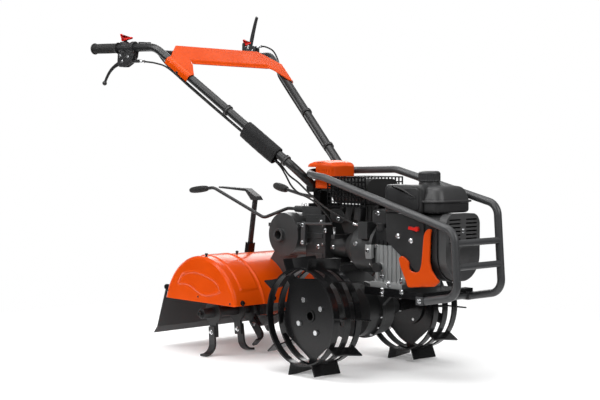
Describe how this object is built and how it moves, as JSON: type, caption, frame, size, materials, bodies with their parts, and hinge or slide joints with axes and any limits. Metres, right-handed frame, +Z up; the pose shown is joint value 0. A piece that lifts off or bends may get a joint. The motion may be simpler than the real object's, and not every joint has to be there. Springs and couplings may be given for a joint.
{
  "type": "walk-behind tiller",
  "caption": "Walk-behind tiller with paddle wheels, a rear tine rotor under an orange hood, a caged petrol engine and raised handlebars with hand levers.",
  "frame": {"origin": "on the ground, at the centre of the overall box", "axes": "+X forward to the engine guard, +Y to the machine's left, +Z up"},
  "size_m": [1.644, 0.7052, 1.2799],
  "materials": {
    "black_paint": "satin powder coat",
    "steel_dark": "machined steel",
    "zinc": "bright zinc",
    "case_grey": "painted casting, dark grey",
    "aluminium_cast": "die cast",
    "engine_plastic": "fine grain",
    "orange_paint": "gloss orange",
    "orange_plastic": "orange moulding",
    "red_plastic": "red moulding",
    "guard_paint": "satin grey",
    "handle_paint": "satin dark grey",
    "rubber_black": "moulded grip",
    "sleeve_fabric": "soft wrap",
    "tine_steel": "dark forged steel",
    "muffler_steel": "heat resistant paint"
  },
  "bodies": {
    "chassis": {"axle_bearings": "zinc", "final_case_right": "case_grey", "final_case_left": "case_grey", "gearbox_case": "case_grey", "gearbox_cover": "case_grey", "bell_housing": "case_grey", "rear_case": "case_grey", "rotor_leg": "case_grey", "rotor_chain": "steel_dark", "case_bolts": "zinc", "engine_plate": "black_paint", "crankcase": "aluminium_cast", "cylinder_head": "aluminium_cast", "fan_shroud": "engine_plastic", "starter_cover": "engine_plastic", "fuel_tank": "engine_plastic", "air_cleaner": "engine_plastic", "side_panel": "engine_plastic", "side_trim": "orange_plastic", "muffler": "muffler_steel", "muffler_guard": "black_paint", "handle_cover": "orange_plastic", "guard_loop": "guard_paint", "guard_feet": "guard_paint", "handle_bracket": "black_paint", "hood_center": "orange_paint", "hood_wings": "orange_paint", "flap_hinge": "black_paint", "depth_guide": "black_paint"},
    "running_gear": {"right_wheel": "black_paint", "left_wheel": "black_paint", "wheel_hubs": "steel_dark", "wheel_bolts": "zinc", "drive_axle": "steel_dark", "axle_gear": "steel_dark"},
    "layshaft": {"lay_pinion": "steel_dark"},
    "crank": {"crankshaft": "steel_dark", "flywheel": "steel_dark", "clutch_drum": "steel_dark"},
    "output_shaft": {"drive_sprocket": "steel_dark"},
    "rotor": {"tine_shaft": "steel_dark", "tine_blades": "tine_steel"},
    "flap": {"rear_flap": "black_paint"},
    "depth": {"depth_bar": "handle_paint"},
    "shifter": {"shift_lever": "handle_paint"},
    "ranger": {"range_lever": "handle_paint"},
    "tank_cap": {"fuel_cap": "engine_plastic"},
    "dipstick": {"oil_cap": "engine_plastic"},
    "choke": {"choke_lever": "red_plastic"},
    "handlebar": {"handle_frame": "handle_paint", "console_panel": "orange_paint", "hand_grips": "rubber_black", "control_brackets": "black_paint", "cable_sleeve": "sleeve_fabric", "cables": "rubber_black"},
    "clutch_hand": {"right_lever": "handle_paint"},
    "drive_hand": {"left_lever": "handle_paint"},
    "stop_latch": {"right_latch": "red_plastic"},
    "lock_latch": {"left_latch": "red_plastic"},
    "throttle": {"throttle_lever": "engine_plastic"}
  },
  "joints": [
    {"name": "wheel_spin", "type": "hinge", "parent": "chassis", "child": "running_gear", "pos_m": [0.31437, 0, 0.19256], "axis": [0, 1, 0], "continuous": true},
    {"name": "lay_spin", "type": "hinge", "parent": "chassis", "child": "layshaft", "pos_m": [0.26263, 0, 0.26645], "axis": [0, 1, 0], "continuous": true},
    {"name": "crank_spin", "type": "hinge", "parent": "chassis", "child": "crank", "pos_m": [0.51437, 0, 0.404], "axis": [1, 0, 0], "continuous": true},
    {"name": "output_spin", "type": "hinge", "parent": "chassis", "child": "output_shaft", "pos_m": [0.01607, 0, 0.437], "axis": [0, 1, 0], "continuous": true},
    {"name": "rotor_spin", "type": "hinge", "parent": "chassis", "child": "rotor", "pos_m": [-0.20363, 0, 0.153], "axis": [0, 1, 0], "continuous": true},
    {"name": "flap_swing", "type": "hinge", "parent": "chassis", "child": "flap", "pos_m": [-0.4136, 0, 0.232], "axis": [0, 1, 0], "range_deg": [0, 60]},
    {"name": "depth_slide", "type": "slide", "parent": "chassis", "child": "depth", "axis": [0.169, 0, 0.9856], "range_m": [-0.05, 0.06]},
    {"name": "shift_slide", "type": "slide", "parent": "chassis", "child": "shifter", "axis": [1, 0, 0], "range_m": [-0.015, 0.015]},
    {"name": "range_swing", "type": "hinge", "parent": "chassis", "child": "ranger", "pos_m": [0.07637, 0.012, 0.54], "axis": [0, 0, 1], "range_deg": [-15, 15]},
    {"name": "fuel_cap_turn", "type": "hinge", "parent": "chassis", "child": "tank_cap", "pos_m": [0.60437, 0, 0.64], "axis": [0, 0, 1], "range_deg": [0, 90]},
    {"name": "oil_cap_turn", "type": "hinge", "parent": "chassis", "child": "dipstick", "pos_m": [0.46437, -0.086, 0.352], "axis": [0, -1, 0], "range_deg": [0, 180]},
    {"name": "choke_swing", "type": "hinge", "parent": "chassis", "child": "choke", "pos_m": [0.63837, -0.093, 0.484], "axis": [0, 1, 0], "range_deg": [-25, 25]},
    {"name": "handle_tilt", "type": "hinge", "parent": "chassis", "child": "handlebar", "pos_m": [0.11137, 0, 0.604], "axis": [0, 1, 0], "range_deg": [-12, 0], "deforming": ["cables"]},
    {"name": "clutch_squeeze", "type": "hinge", "parent": "handlebar", "child": "clutch_hand", "pos_m": [-0.65066, -0.3065, 1.06897], "axis": [-0.141, 0.99, 0], "range_deg": [0, 24], "stiffness_Nm_per_rad": 1.2, "springref_deg": -17.19},
    {"name": "drive_squeeze", "type": "hinge", "parent": "handlebar", "child": "drive_hand", "pos_m": [-0.63279, 0.30396, 1.15337], "axis": [-0.141, -0.99, 0], "range_deg": [0, 40], "stiffness_Nm_per_rad": 0.8, "springref_deg": -17.19},
    {"name": "stop_flip", "type": "hinge", "parent": "handlebar", "child": "stop_latch", "pos_m": [-0.65463, -0.30707, 1.15217], "axis": [-0.141, 0.99, 0], "range_deg": [0, 12]},
    {"name": "lock_flip", "type": "hinge", "parent": "handlebar", "child": "lock_latch", "pos_m": [-0.66978, 0.30923, 1.17173], "axis": [-0.141, -0.99, 0], "range_deg": [0, 12]},
    {"name": "throttle_turn", "type": "hinge", "parent": "handlebar", "child": "throttle", "pos_m": [-0.60201, -0.25715, 1.12702], "axis": [0.0356, 0.0051, 0.9994], "range_deg": [-30, 30]}
  ],
  "couplings": [
    {"joint": "lay_spin", "follows": "wheel_spin", "ratio": -2},
    {"joint": "output_spin", "follows": "rotor_spin", "ratio": 1.1071}
  ]
}
